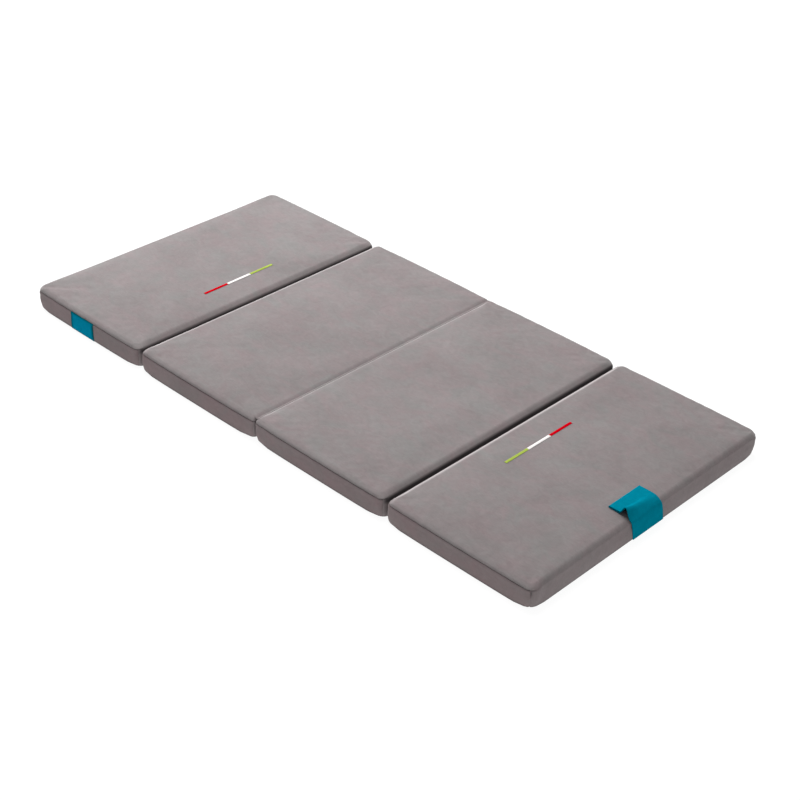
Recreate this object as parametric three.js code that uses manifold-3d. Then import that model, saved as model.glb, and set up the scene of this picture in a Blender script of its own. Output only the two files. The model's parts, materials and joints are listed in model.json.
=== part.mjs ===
// Folding mattress for a travel cot: four foam slabs in fabric covers, joined by three cloth
// folds, with a closing strap, two tricolour ribbons, a bare label and a zip on each far side.
// Millimetres, +X along the length, +Y across to the zip side, +Z up.
// The origin is on the floor, under the middle of the middle fold.

import * as THREE from 'three';
import { mergeVertices } from 'three/addons/utils/BufferGeometryUtils.js';
import Module from 'manifold-3d';

// Whole mattress
const length = 1200;
const width = 600;
const edgeHeight = 44.5;
const crownRise = 1.5;
const crownRun = 60;

// Cloth and clearances
const wall = 1.5;
const seat = 0.3;
const overrun = 20;

// Section of a panel
const footRadius = 3;
const sideEdgeRadius = 8;
const sideBow = 2;
const sideBulge = 0.6;
const seamHeight = 36.5;
const seamDepth = 14;
const hemWidth = 4.5;
const leastCorner = 2;

// Free ends of panels 1 and 4
const endCorner = 14;
const endEdgeRadius = 9;

// Folds that hinge under the mattress, between panels 1 and 2, and 3 and 4
const foldCorner = 11;
const foldEdgeRadius = 7.5;
const foldSeat = 0.2;
const valleyHalf = 1.5;
const foldTapeWidth = 11;
const foldTapeThickness = 0.8;

// Fold that hinges on top, between panels 2 and 3
const tightCorner = 5;
const tightEdgeRadius = 4;
const tightGap = 0.3;
const tightFootGap = 1.5;
const capTapeWidth = 4.5;
const capTapeDrop = 3;

// Ribbons on the tops of panels 1 and 4
const ribbonWidth = 5;
const ribbonLength = 170;
const ribbonThickness = 0.6;
const ribbonSetback = 65;
const ribbonShift = -3;

// Bare label on the near side of panel 1
const labelLength = 65;
const labelSetback = 107;
const labelThickness = 0.8;
const labelFoot = 1;

// Closing strap on the free end of panel 4
const strapWidth = 79;
const strapCentre = -15.5;
const strapLean = 12.5;
const strapThickness = 1;
const strapFoot = 2;
const strapReach = 43.5;
const humpHeight = 13.5;
const tuckLength = 30;
const padLength = 18;
const padMargin = 4;
const padThickness = 0.8;

// Zips on the far side
const zipMargin = 32;
const zipHeight = 21;
const zipTapeWidth = 27;
const zipTapeThickness = 0.6;
const zipTapeOverlap = 6;
const toothPitch = 6;
const toothGap = 0.3;
const toothReach = 2.5;
const toothMesh = 0.9;
const toothThickness = 2.2;
const stopLength = 3;
const slotEnd = 3;
const slotClearance = 0.8;

// Zip sliders and pulls
const sliderLength = 13;
const sliderWidth = 10;
const sliderNose = 7;
const sliderPlate = 1.2;
const railWidth = 1.6;
const bridgeWidth = 2.2;
const bridgeHole = 1.4;
const bridgeWall = 1.2;
const pullLength = 22;
const pullWidth = 6.6;
const pullTipWidth = 5;
const pullThickness = 1.2;
const pullBar = 1.5;
const pullSlot = 3.6;
const pullEye = 1.5;
const pullEyeSetback = 4;

// Fineness of the curved faces
const cornerSteps = 3;
const sideSteps = 4;
const footSteps = 2;
const edgeSteps = 3;
const crownSteps = 2;
const foamSteps = 2;
const strapSteps = 14;
const strapSpans = 6;
const arcSteps = 6;

const panelLength = length / 4;
const halfWidth = width / 2;
const quarterTurn = Math.PI / 2;
const crownHeight = edgeHeight + crownRise;

// Solids
const wasm = await Module();
wasm.setup();

function toSolid(geometry) {
  const bare = geometry.clone();
  bare.deleteAttribute('normal');
  bare.deleteAttribute('uv');
  const merged = mergeVertices(bare);
  return new wasm.Manifold(new wasm.Mesh({
    numProp: 3,
    vertProperties: new Float32Array(merged.attributes.position.array),
    triVerts: new Uint32Array(merged.index.array),
  }));
}

function toGeometry(solid) {
  const mesh = solid.getMesh();
  const geometry = new THREE.BufferGeometry();
  geometry.setAttribute('position', new THREE.BufferAttribute(mesh.vertProperties, mesh.numProp));
  geometry.setIndex(new THREE.BufferAttribute(mesh.triVerts, 1));
  return geometry;
}

// A closed body through a stack of rings, each a list of the same even number of points. The
// caps on the first and the last join a ring's first half to its second, rung by rung.
function loft(rings) {
  const count = rings[0].length;
  const points = rings.flat();
  const faces = [];
  for (let level = 0; level + 1 < rings.length; level++) {
    for (let at = 0; at < count; at++) {
      const next = (at + 1) % count;
      const here = level * count;
      const above = here + count;
      faces.push(here + at, here + next, above + next, here + at, above + next, above + at);
    }
  }
  const last = (rings.length - 1) * count;
  for (let at = 0; at + 1 < count / 2; at++) {
    const across = count - 1 - at;
    faces.push(at, across, at + 1, at + 1, across, across - 1);
    faces.push(last + at, last + at + 1, last + across);
    faces.push(last + at + 1, last + across - 1, last + across);
  }
  const geometry = new THREE.BufferGeometry().setFromPoints(points);
  geometry.setIndex(faces);
  return geometry;
}

// A block from its two ends along X, Y and Z, given in either order.
function block(x, y, z) {
  const sizes = [x, y, z].map(([start, end]) => Math.abs(end - start));
  const middles = [x, y, z].map(([start, end]) => (start + end) / 2);
  return toSolid(new THREE.BoxGeometry(...sizes).translate(...middles));
}

// An outline in plan, raised from one height to another.
function prism(points, low, high) {
  const outline = new THREE.Shape(points.map((point) => new THREE.Vector2(point.x, point.y)));
  const geometry = new THREE.ExtrudeGeometry(outline, { depth: high - low, bevelEnabled: false });
  return toSolid(geometry.translate(0, 0, low));
}

// An outline in the X and Z directions, with its thickness from one y to another.
function upright(outline, near, far, curveSegments = arcSteps) {
  const depth = far - near;
  const geometry = new THREE.ExtrudeGeometry(outline, { depth, curveSegments, bevelEnabled: false });
  return toSolid(geometry.rotateX(quarterTurn).translate(0, far, 0));
}

// Panels
// A face's foot, waist and top are how far it stands back from its line at those heights.
const longSide = { foot: sideBulge, waist: 0, top: sideBulge, edge: sideEdgeRadius };
const freeEnd = {
  corner: endCorner, edge: endEdgeRadius, foot: sideBulge, waist: 0, top: sideBulge,
};
const underFold = {
  corner: foldCorner, edge: foldEdgeRadius,
  foot: foldSeat, waist: (foldSeat + valleyHalf) / 2, top: valleyHalf,
};
const topFold = {
  corner: tightCorner, edge: tightEdgeRadius,
  foot: tightFootGap, waist: (tightGap + tightFootGap) / 2, top: tightGap,
};

const panels = [
  { number: 1, low: freeEnd, high: underFold },
  { number: 2, low: underFold, high: topFold },
  { number: 3, low: topFold, high: underFold },
  { number: 4, low: underFold, high: freeEnd },
].map((panel) => ({
  ...panel,
  left: (panel.number - 3) * panelLength,
  right: (panel.number - 2) * panelLength,
  middle: (panel.number - 2.5) * panelLength,
}));

// A face's section from its foot to the crown, moved outwards by grow.
function section(face, grow, steps) {
  const points = [];
  for (let step = 0; step <= steps.foot; step++) {
    const angle = quarterTurn * step / steps.foot;
    points.push({
      inset: face.foot + footRadius - (footRadius + grow) * Math.sin(angle),
      z: footRadius - (footRadius + grow) * Math.cos(angle),
    });
  }
  points.push({ inset: face.waist - grow, z: edgeHeight / 2 });
  for (let step = 0; step <= steps.edge; step++) {
    const angle = quarterTurn * step / steps.edge;
    points.push({
      inset: face.top + face.edge - (face.edge + grow) * Math.cos(angle),
      z: edgeHeight - face.edge + (face.edge + grow) * Math.sin(angle),
    });
  }
  for (let step = 1; step <= crownSteps; step++) {
    const share = step / crownSteps;
    points.push({
      inset: face.top + face.edge + crownRun * share,
      z: edgeHeight + crownRise * Math.sin(quarterTurn * share) + grow,
    });
  }
  return points;
}

// One ring of a panel at one step of the sections of its two end faces and its long sides.
function ring(panel, low, high, side) {
  const reach = halfWidth - side.inset;
  const ends = {
    low: { x: panel.left + low.inset, out: -1, corner: panel.low.corner, ...low },
    high: { x: panel.right - high.inset, out: 1, corner: panel.high.corner, ...high },
  };
  for (const end of Object.values(ends)) {
    end.radius = Math.max(end.corner - (end.inset + side.inset) / 2, leastCorner);
  }
  const points = [];
  const add = (x, y, z) => {
    const share = Math.abs(2 * (x - panel.middle) / panelLength) ** 4;
    points.push(new THREE.Vector3(x, y - sideBow * share * y / halfWidth, z));
  };
  const corner = (end, start) => {
    for (let step = 0; step <= cornerSteps; step++) {
      const angle = start + quarterTurn * step / cornerSteps;
      const across = Math.sin(angle) ** 2;
      const yCentre = Math.sign(Math.sin(start + quarterTurn / 2)) * (reach - end.radius);
      const xCentre = end.x - end.out * end.radius;
      add(
        xCentre + end.radius * Math.cos(angle), yCentre + end.radius * Math.sin(angle),
        end.z * (1 - across) + side.z * across,
      );
    }
  };
  const straight = (from, to, y) => {
    const start = from.x - from.out * from.radius;
    const stop = to.x - to.out * to.radius;
    for (let step = 1; step < sideSteps; step++) {
      add(start + (stop - start) * step / sideSteps, y, side.z);
    }
  };
  corner(ends.high, -quarterTurn);
  corner(ends.high, 0);
  straight(ends.high, ends.low, reach);
  corner(ends.low, quarterTurn);
  corner(ends.low, 2 * quarterTurn);
  straight(ends.low, ends.high, -reach);
  return points;
}

const clothSteps = { foot: footSteps, edge: edgeSteps };
const foamFaceSteps = { foot: 1, edge: foamSteps };

// A panel's whole form, moved outwards by grow, or inwards where grow is below zero.
function form(panel, grow, steps = clothSteps) {
  const low = section(panel.low, grow, steps);
  const high = section(panel.high, grow, steps);
  const side = section(longSide, grow, steps);
  return toSolid(loft(side.map((point, step) => ring(panel, low[step], high[step], point))));
}

// A sheet of cloth that lies on a panel, its seat away from the cover.
function layer(panel, gap, thickness) {
  return form(panel, gap + thickness).subtract(form(panel, gap));
}

// The part of a cover that its side strip takes, mitred at the corners, on the side given
// by sign, and drawn in all round by clearance.
function sideWindow(panel, sign, clearance) {
  const mitre = clearance * Math.SQRT2;
  const outer = sign * (halfWidth + overrun);
  const inner = sign * (halfWidth - seamDepth);
  const outline = [
    { x: panel.left - overrun + mitre, y: outer },
    { x: panel.right + overrun - mitre, y: outer },
    { x: panel.right - seamDepth - mitre, y: inner },
    { x: panel.left + seamDepth + mitre, y: inner },
  ];
  return prism(outline, -overrun, seamHeight - clearance);
}

// The plan of the base cloth, inside the hem by clearance.
function basePlan(panel, clearance) {
  const step = { inset: hemWidth + clearance, z: 0 };
  return ring(panel, step, step, step);
}

// Where the fold tapes lie: under the panels at the outer folds.
function underTape(line, side, clearance) {
  const near = line + side * (foldSeat - clearance);
  const far = line + side * (foldSeat + foldTapeWidth + clearance);
  const reach = halfWidth - foldCorner + clearance;
  return block([near, far], [-reach, reach], [-clearance, foldTapeThickness + clearance]);
}

// A strip of cloth over the rounded top edge at the middle fold.
function capTape(panel, side) {
  const near = side * foldSeat;
  const far = side * (foldSeat + capTapeWidth);
  const reach = halfWidth - tightCorner - sideBow;
  const span = block(
    [near, far], [-reach, reach], [edgeHeight - capTapeDrop, edgeHeight + overrun],
  );
  return layer(panel, seat, foldTapeThickness).intersect(span);
}

function tapesUnder(panel, clearance) {
  const tapes = [];
  if (panel.low === underFold) tapes.push(underTape(panel.left, 1, clearance));
  if (panel.high === underFold) tapes.push(underTape(panel.right, -1, clearance));
  return tapes;
}

// Zip places, measured from the middle of its panel
const zipHalf = panelLength / 2 - zipMargin;
const tapeFace = halfWidth - sideBow - sideBulge - wall - seat;
const tapeBack = tapeFace - zipTapeThickness;
const teethFace = tapeFace + toothThickness;
const plateBack = teethFace + seat;
const plateFace = plateBack + sliderPlate;
const pinHeight = plateFace + bridgeHole;
const slotHalf = zipHalf + slotEnd;
const slotHigh = sliderWidth / 2 + slotClearance;
const sliderRest = -zipHalf + stopLength + sliderLength / 2;

function zipSlot(panel) {
  return block(
    [panel.middle - slotHalf, panel.middle + slotHalf], [tapeBack, halfWidth + overrun],
    [zipHeight - slotHigh, zipHeight + slotHigh],
  );
}

function zipPocket(panel) {
  const reach = slotHalf + zipTapeOverlap + seat;
  const high = zipTapeWidth / 2 + seat;
  return block(
    [panel.middle - reach, panel.middle + reach], [tapeBack - seat, halfWidth],
    [zipHeight - high, zipHeight + high],
  );
}

// One half of a zip, above or below the middle by its side: the tape, with its row of teeth
// and its end stops moulded on as one comb. The two rows mesh along the middle.
function zipHalfTape(panel, side) {
  const reach = slotHalf + zipTapeOverlap;
  const tape = block(
    [panel.middle - reach, panel.middle + reach], [tapeBack, tapeFace],
    [zipHeight + side * (toothMesh + seat), zipHeight + side * zipTapeWidth / 2],
  );
  const start = -zipHalf + stopLength + toothGap;
  const half = toothPitch / 2;
  const count = Math.floor(-2 * start / half);
  const crest = side * toothReach;
  const root = side * (toothMesh + seat);
  const stop = side * seat / 2;
  const comb = [[-zipHalf, crest], [-zipHalf, stop], [-zipHalf + stopLength, stop]];
  comb.push([-zipHalf + stopLength, root]);
  for (let tooth = side > 0 ? 0 : 1; tooth < count; tooth += 2) {
    const x = start + tooth * half;
    const tip = -side * toothMesh;
    comb.push([x, root], [x, tip], [x + half - toothGap, tip], [x + half - toothGap, root]);
  }
  comb.push([zipHalf - stopLength, root], [zipHalf - stopLength, stop]);
  comb.push([zipHalf, stop], [zipHalf, crest]);
  const outline = new THREE.Shape(comb.map(([x, z]) => new THREE.Vector2(x, z)));
  const teeth = upright(outline, (tapeBack + tapeFace) / 2, teethFace);
  return tape.add(teeth.translate([panel.middle, 0, zipHeight]));
}

// The slider: a plate that narrows to its nose, two rails beside the teeth, and the bridge
// that holds the pull.
function zipSlider() {
  const half = sliderLength / 2;
  const plan = new THREE.Shape([
    new THREE.Vector2(-half, -sliderNose / 2), new THREE.Vector2(half / 2, -sliderWidth / 2),
    new THREE.Vector2(half, -sliderWidth / 2), new THREE.Vector2(half, sliderWidth / 2),
    new THREE.Vector2(half / 2, sliderWidth / 2), new THREE.Vector2(-half, sliderNose / 2),
  ]);
  const railInner = toothReach + seat;
  const rail = (side) => upright(plan, tapeFace + seat, plateFace).intersect(block(
    [-half, half], [0, plateFace], [side * railInner, side * (railInner + railWidth)],
  ));
  const outer = bridgeHole + bridgeWall;
  const arch = new THREE.Shape();
  arch.moveTo(outer, 0);
  arch.absarc(0, bridgeHole, outer, 0, Math.PI, false);
  arch.lineTo(-outer, 0);
  arch.lineTo(-bridgeHole, 0);
  arch.absarc(0, bridgeHole, bridgeHole, Math.PI, 0, true);
  arch.lineTo(bridgeHole, 0);
  const bridge = new THREE.ExtrudeGeometry(arch, {
    depth: bridgeWidth, curveSegments: arcSteps, bevelEnabled: false,
  }).translate(0, plateFace, -bridgeWidth / 2);
  return upright(plan, plateBack, plateFace).add(rail(1)).add(rail(-1)).add(toSolid(bridge));
}

// The pull: a flat tab whose cross bar lies in the bridge, with a slot that clears the bridge
// and an eye near its tip.
function zipPull() {
  const back = -pullBar / 2;
  const slot = bridgeWidth / 2 + seat;
  const plan = new THREE.Shape();
  plan.moveTo(back, -pullWidth / 2);
  plan.lineTo(pullSlot + pullWidth / 2, -pullWidth / 2);
  plan.lineTo(pullLength - pullTipWidth / 2, -pullTipWidth / 2);
  plan.absarc(pullLength - pullTipWidth / 2, 0, pullTipWidth / 2, -quarterTurn, quarterTurn, false);
  plan.lineTo(pullSlot + pullWidth / 2, pullWidth / 2);
  plan.lineTo(back, pullWidth / 2);
  const opening = new THREE.Path([
    new THREE.Vector2(-back, -slot), new THREE.Vector2(-back, slot),
    new THREE.Vector2(pullSlot, slot), new THREE.Vector2(pullSlot, -slot),
  ]);
  const eye = new THREE.Path();
  eye.absarc(pullLength - pullEyeSetback, 0, pullEye, 0, 2 * Math.PI, true);
  plan.holes.push(opening, eye);
  return upright(plan, pinHeight - pullThickness / 2, pinHeight + pullThickness / 2);
}

// Strap places on the free end of panel 4
const strapPanel = panels[3];
const bendX = strapPanel.right - freeEnd.top - freeEnd.edge;
const bendZ = edgeHeight - freeEnd.edge;
const bendRadius = freeEnd.edge + seat + strapThickness / 2;
const strapFree = strapPanel.right - strapReach;
const flapLift = seat + strapThickness + seat + padThickness + seat;
const strapTopCentre = strapCentre - strapLean / 2;
const strapFootCentre = strapCentre + strapLean / 2;

// The strap's outline on the end face, which leans as it rises, cut off at the bend.
function strapOnEnd() {
  const high = edgeHeight + overrun;
  const centre = (z) => strapFootCentre + (strapTopCentre - strapFootCentre) * z / edgeHeight;
  const half = strapWidth / 2;
  const corners = [
    [centre(strapFoot) - half, strapFoot], [centre(strapFoot) + half, strapFoot],
    [centre(edgeHeight) + half, edgeHeight], [centre(edgeHeight) + half, high],
    [centre(edgeHeight) - half, high], [centre(edgeHeight) - half, edgeHeight],
  ];
  const outline = new THREE.Shape(corners.map(([y, z]) => new THREE.Vector2(y, z)));
  const band = new THREE.ExtrudeGeometry(outline, { depth: 2 * overrun, bevelEnabled: false })
    .rotateX(quarterTurn).rotateZ(quarterTurn).translate(bendX, 0, 0);
  const belowBend = new THREE.Shape([
    new THREE.Vector2(bendX, bendZ),
    new THREE.Vector2(bendX + 2 * overrun, bendZ + 2 * overrun),
    new THREE.Vector2(bendX + 2 * overrun, -overrun), new THREE.Vector2(bendX, -overrun),
  ]);
  const cut = upright(belowBend, -width, width);
  return layer(strapPanel, seat, strapThickness).intersect(toSolid(band)).intersect(cut);
}

// The flap's middle line from the bend to its free end: shares of its run, of its climb to
// the flat, and of the hump that stands up at its near edge.
const flapRunShares = [0, 0.06, 0.13, 0.2, 0.32, 0.48, 0.64, 0.8, 1];
const flapClimbShares = [0, 0.35, 0.62, 0.84, 0.96, 1, 1, 1, 1];
const flapHumpShares = [0, 0.08, 0.45, 0.88, 1, 0.66, 0.26, 0.05, 0];

function flapLine(share) {
  const startX = bendX + bendRadius * Math.SQRT1_2 - seat;
  const startZ = bendZ + bendRadius * Math.SQRT1_2 + seat;
  const flatZ = crownHeight + flapLift + strapThickness / 2;
  const hump = humpHeight * (1 - share) ** 2;
  const points = flapRunShares.map((run, at) => new THREE.Vector3(
    startX + (strapFree - startX) * run, 0,
    startZ + (flatZ - startZ) * flapClimbShares[at] + hump * flapHumpShares[at],
  ));
  return new THREE.CatmullRomCurve3(points).getPoints(strapSteps);
}

// The flap: a band over the top edge whose end is turned under, with room for the hook pad.
function strapFlap() {
  const half = strapThickness / 2;
  const rings = [];
  for (let span = 0; span <= strapSpans; span++) {
    const share = span / strapSpans;
    const y = strapTopCentre + strapWidth * (share - 0.5);
    const line = flapLine(share);
    const outer = [];
    const inner = [];
    line.forEach((point, at) => {
      const before = line[Math.max(at - 1, 0)];
      const after = line[Math.min(at + 1, line.length - 1)];
      const along = new THREE.Vector3().subVectors(after, before).normalize();
      const out = new THREE.Vector3(along.z, 0, -along.x).multiplyScalar(half);
      outer.push(new THREE.Vector3(point.x + out.x, y, point.z + out.z));
      inner.push(new THREE.Vector3(point.x - out.x, y, point.z - out.z));
    });
    rings.push([...inner, ...outer.reverse()]);
  }
  const top = crownHeight + flapLift + strapThickness;
  const turn = block(
    [strapFree - half, strapFree + half], strapSides(0), [crownHeight + seat, top],
  );
  const under = block(
    [strapFree, strapFree + tuckLength], strapSides(0),
    [crownHeight + seat, crownHeight + seat + strapThickness],
  );
  return toSolid(loft(rings)).add(turn).add(under);
}

function strapSides(margin) {
  const half = strapWidth / 2 - margin;
  return [strapTopCentre - half, strapTopCentre + half];
}

function hookPad() {
  const low = crownHeight + seat + strapThickness + seat;
  return block(
    [strapFree + padMargin, strapFree + padMargin + padLength], strapSides(padMargin),
    [low, low + padThickness],
  );
}

// Finishes
function finish(color, roughness, metalness = 0) {
  return () => new THREE.MeshStandardMaterial({ color, roughness, metalness });
}
const velour = finish('#a09a9b', 0.95);
const sideCloth = finish('#7c7677', 0.95);
const baseCloth = finish('#6b6566', 0.95);
const foam = finish('#e8e2cf', 1);
const tapeCloth = finish('#8f898a', 0.9);
const teal = finish('#0b7389', 0.7);
const hooks = finish('#0a5f72', 0.8);
const red = finish('#c8262c', 0.7);
const white = finish('#eeeeec', 0.7);
const green = finish('#9cc63a', 0.7);
const sliderMetal = finish('#8b8a8c', 0.35, 0.9);

const mattress = new THREE.Group();

function addPiece(name, solid, material, place = mattress) {
  const mesh = new THREE.Mesh(toGeometry(solid), material());
  mesh.name = name;
  place.add(mesh);
}

// Covers, slabs and zips, panel by panel
for (const panel of panels) {
  const shell = form(panel, 0).subtract(form(panel, -wall, foamFaceSteps));
  const baseCut = prism(basePlan(panel, 0), -overrun, wall + seat / 2);
  let cover = shell.subtract(sideWindow(panel, 1, 0)).subtract(sideWindow(panel, -1, 0));
  cover = cover.subtract(baseCut);
  let base = prism(basePlan(panel, seat), 0, wall);
  for (const tape of tapesUnder(panel, seat)) {
    cover = cover.subtract(tape);
    base = base.subtract(tape);
  }
  const sideOf = (sign) => shell.intersect(sideWindow(panel, sign, seat)).subtract(baseCut);
  const slab = form(panel, -wall - seat, foamFaceSteps).subtract(zipPocket(panel));

  addPiece(`foam_slab_${panel.number}`, slab, foam);
  addPiece(`top_cover_${panel.number}`, cover, velour);
  addPiece(`near_side_${panel.number}`, sideOf(-1), sideCloth);
  addPiece(`far_side_${panel.number}`, sideOf(1).subtract(zipSlot(panel)), sideCloth);
  addPiece(`base_cloth_${panel.number}`, base, baseCloth);
  addPiece(`zip_upper_${panel.number}`, zipHalfTape(panel, 1), tapeCloth);
  addPiece(`zip_lower_${panel.number}`, zipHalfTape(panel, -1), tapeCloth);

  const carriage = new THREE.Group();
  carriage.position.set(panel.middle + sliderRest, 0, zipHeight);
  addPiece(`zip_slider_${panel.number}`, zipSlider(), sliderMetal, carriage);
  addPiece(`zip_pull_${panel.number}`, zipPull(), sliderMetal, carriage);
  mattress.add(carriage);
}

// Fold tapes, each in two halves that meet at the fold line
addPiece('fold_tape_12_low', underTape(-panelLength, -1, 0), tapeCloth);
addPiece('fold_tape_12_high', underTape(-panelLength, 1, 0), tapeCloth);
addPiece('fold_tape_23_low', capTape(panels[1], -1), tapeCloth);
addPiece('fold_tape_23_high', capTape(panels[2], 1), tapeCloth);
addPiece('fold_tape_34_low', underTape(panelLength, -1, 0), tapeCloth);
addPiece('fold_tape_34_high', underTape(panelLength, 1, 0), tapeCloth);

// Ribbons, woven in three colours
function addRibbon(panel, foldLine, away, colours) {
  const x = foldLine + away * ribbonSetback;
  const low = crownHeight + seat;
  const share = ribbonLength / colours.length;
  colours.forEach(([name, colour], at) => {
    const y = ribbonShift - ribbonLength / 2 + at * share;
    const solid = block(
      [x, x + away * ribbonWidth], [y, y + share - seat], [low, low + ribbonThickness],
    );
    addPiece(`ribbon_${panel}_${name}`, solid, colour);
  });
}
addRibbon(1, -panelLength, -1, [['red', red], ['white', white], ['green', green]]);
addRibbon(4, panelLength, 1, [['green', green], ['white', white], ['red', red]]);

// Bare label, from the foot of the near side to the seam
const labelSpan = block(
  [panels[0].left + labelSetback, panels[0].left + labelSetback + labelLength],
  [-halfWidth + seamDepth, -halfWidth - overrun], [labelFoot, seamHeight],
);
addPiece('label', layer(panels[0], seat, labelThickness).intersect(labelSpan), teal);

// Closing strap
addPiece('strap_lower', strapOnEnd(), teal);
addPiece('strap_flap', strapFlap(), teal);
addPiece('hook_pad', hookPad(), hooks);

export default mattress;
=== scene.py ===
# Folding mattress for a travel cot: four foam slabs in brushed-cloth covers, joined by three
# cloth folds, with a webbing strap, two tricolour ribbons, a bare label and a zip along the far
# side of each panel. Metres, +X along the length, +Y across to the zips, +Z up.

import json
import math

import bpy
import numpy as np
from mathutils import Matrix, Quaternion, Vector
from mathutils.bvhtree import BVHTree


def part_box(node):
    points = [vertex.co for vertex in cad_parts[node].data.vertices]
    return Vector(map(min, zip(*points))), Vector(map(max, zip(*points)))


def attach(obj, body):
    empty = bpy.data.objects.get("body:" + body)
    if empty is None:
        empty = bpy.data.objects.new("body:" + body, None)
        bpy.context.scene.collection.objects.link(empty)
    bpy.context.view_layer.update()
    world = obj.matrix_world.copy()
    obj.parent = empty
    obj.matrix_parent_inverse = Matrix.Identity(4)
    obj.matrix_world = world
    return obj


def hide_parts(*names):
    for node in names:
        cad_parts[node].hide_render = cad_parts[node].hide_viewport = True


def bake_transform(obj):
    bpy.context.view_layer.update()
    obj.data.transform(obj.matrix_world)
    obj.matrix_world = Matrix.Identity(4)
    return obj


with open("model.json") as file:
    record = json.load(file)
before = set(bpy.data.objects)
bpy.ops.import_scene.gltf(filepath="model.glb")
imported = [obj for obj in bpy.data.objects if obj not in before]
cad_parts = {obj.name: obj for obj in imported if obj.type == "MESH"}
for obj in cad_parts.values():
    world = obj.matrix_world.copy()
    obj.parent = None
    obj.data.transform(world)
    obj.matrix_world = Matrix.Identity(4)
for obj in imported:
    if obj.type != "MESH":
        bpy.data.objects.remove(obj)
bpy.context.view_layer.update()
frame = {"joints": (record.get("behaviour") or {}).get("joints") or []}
fold_line = {joint["name"]: joint["pos_m"][0] for joint in frame["joints"] if "fold" in joint["name"]}

# Sizes shared by the panels
PANEL_LENGTH = fold_line["fold_3_4"]
HALF_WIDTH = 0.3
EDGE_HEIGHT = 0.0445
CROWN_RISE = 0.0015
CROWN_RUN = 0.06
TOP_START = 0.6
EDGE_SLOPE_SHARE = 0.7
CORNER_STEPS = 6
LEVEL_SHARES = (0.018, 0.06, 0.25, 0.5, 0.75, 0.8, 0.84, 0.88, 0.92, 0.955, 0.98, 0.995, 1.0)
SIDE_BOW = 0.002
BOW_POWER = 4
FOOT_RADIUS = 0.003
SEAM_HEIGHT = 0.0365
HEM_WIDTH = 0.0045
CLOTH = 0.0012
VOXEL = 0.006
PRESSURE_FRAMES = 16
PRESSURE = 4.0
SWELL_CAP = 0.0016
SWELL_SOFTNESS = 0.008
CLOTH_FEEL = {
    "quality": 6, "mass": 0.35, "tension_stiffness": 25, "compression_stiffness": 25,
    "shear_stiffness": 12, "bending_stiffness": 1.2, "use_pressure": True,
    "uniform_pressure_force": PRESSURE,
}

# How far each face stands back from its line at the foot, the middle and the top
LONG_SIDE = {"run": 0.0045, "drop": 0.008, "stand": (0.0006, 0.0, 0.0006)}
FREE_END = {"corner": 0.014, "run": 0.006, "drop": 0.007, "stand": (0.0006, 0.0, 0.0006)}
UNDER_FOLD = {"corner": 0.011, "run": 0.0085, "drop": 0.008, "stand": (0.0002, 0.0022, 0.0034)}
TOP_FOLD = {"corner": 0.006, "run": 0.0045, "drop": 0.0045, "stand": (0.0015, 0.0009, 0.0003)}
PANEL_FACES = {
    1: (FREE_END, UNDER_FOLD),
    2: (UNDER_FOLD, TOP_FOLD),
    3: (TOP_FOLD, UNDER_FOLD),
    4: (UNDER_FOLD, FREE_END),
}

# Parts laid on the panels
ZIP_HEIGHT = 0.021
ZIP_SLOT = 0.0058
ZIP_HALF = 0.121
ZIP_POCKET = 0.0055
BASE_GAP = 0.0001
BASE_LIFT = 0.00015
BASE_CLOTH = 0.0008
BASE_GRID = (72, 146)
BASE_RIPPLE = 0.00015
BASE_RIPPLE_PITCH = 0.05
FOAM_INSET = 0.0022
TAPE_HALF = 0.011
TAPE_REACH = 0.282
TAPE_THICKNESS = 0.0008
TAPE_CLOTH = 0.0007
TAPE_RAMP = 0.002
TAPE_GRID = (34, 160)
TAPE_CROWDING = 1.35
TAPE_LIFT = 0.00002
BAND_HALF = 0.0047
BAND_REACH = 0.293
BAND_HEIGHT = 0.0442
BAND_DIP = 0.0022
BAND_CREASE = 0.0016
BAND_SEAT = 0.0003
BAND_CLOTH = 0.0007
BAND_GRID = (18, 220)
RIBBON_PLACE = 0.3675
RIBBON_START = -0.088
RIBBON_STEP = 0.05666
RIBBON_LENGTH = 0.0563
RIBBON_WIDTH = 0.0053
RIBBON_CLOTH = 0.0004
RIBBON_LIFT = 0.0003
RIBBON_GRID = (4, 56)
RIBBON_PATH = 40
RIBBON_EVENING = 2
LABEL_MIDDLE = -0.4605
LABEL_WIDTH = 0.065
LABEL_TOP = 0.0365
LABEL_FOOT = 0.001
LABEL_CLOTH = 0.0006
LABEL_BELLY = 0.0006
LABEL_FULLNESS = 0.7
LABEL_LIFT = 0.0006
LABEL_RIPPLE = 0.00012
LABEL_RIPPLE_PITCH = 0.02
LABEL_GRID = (40, 36)
LABEL_PATH = 24
LABEL_EVENING = 6
STITCH_PITCH = 0.0042
STITCH_LENGTH = 0.0027
STITCH_WIDTH = 0.0006
STITCH_INSET = 0.012
STITCH_RISE = 0.0028
STITCH_LIFT = 0.0001
STITCH_PATH_STEP = 0.002
STITCH_BEVEL_SHARE = 0.8
OUTSIDE = 0.4
OVERHEAD = 0.1

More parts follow.
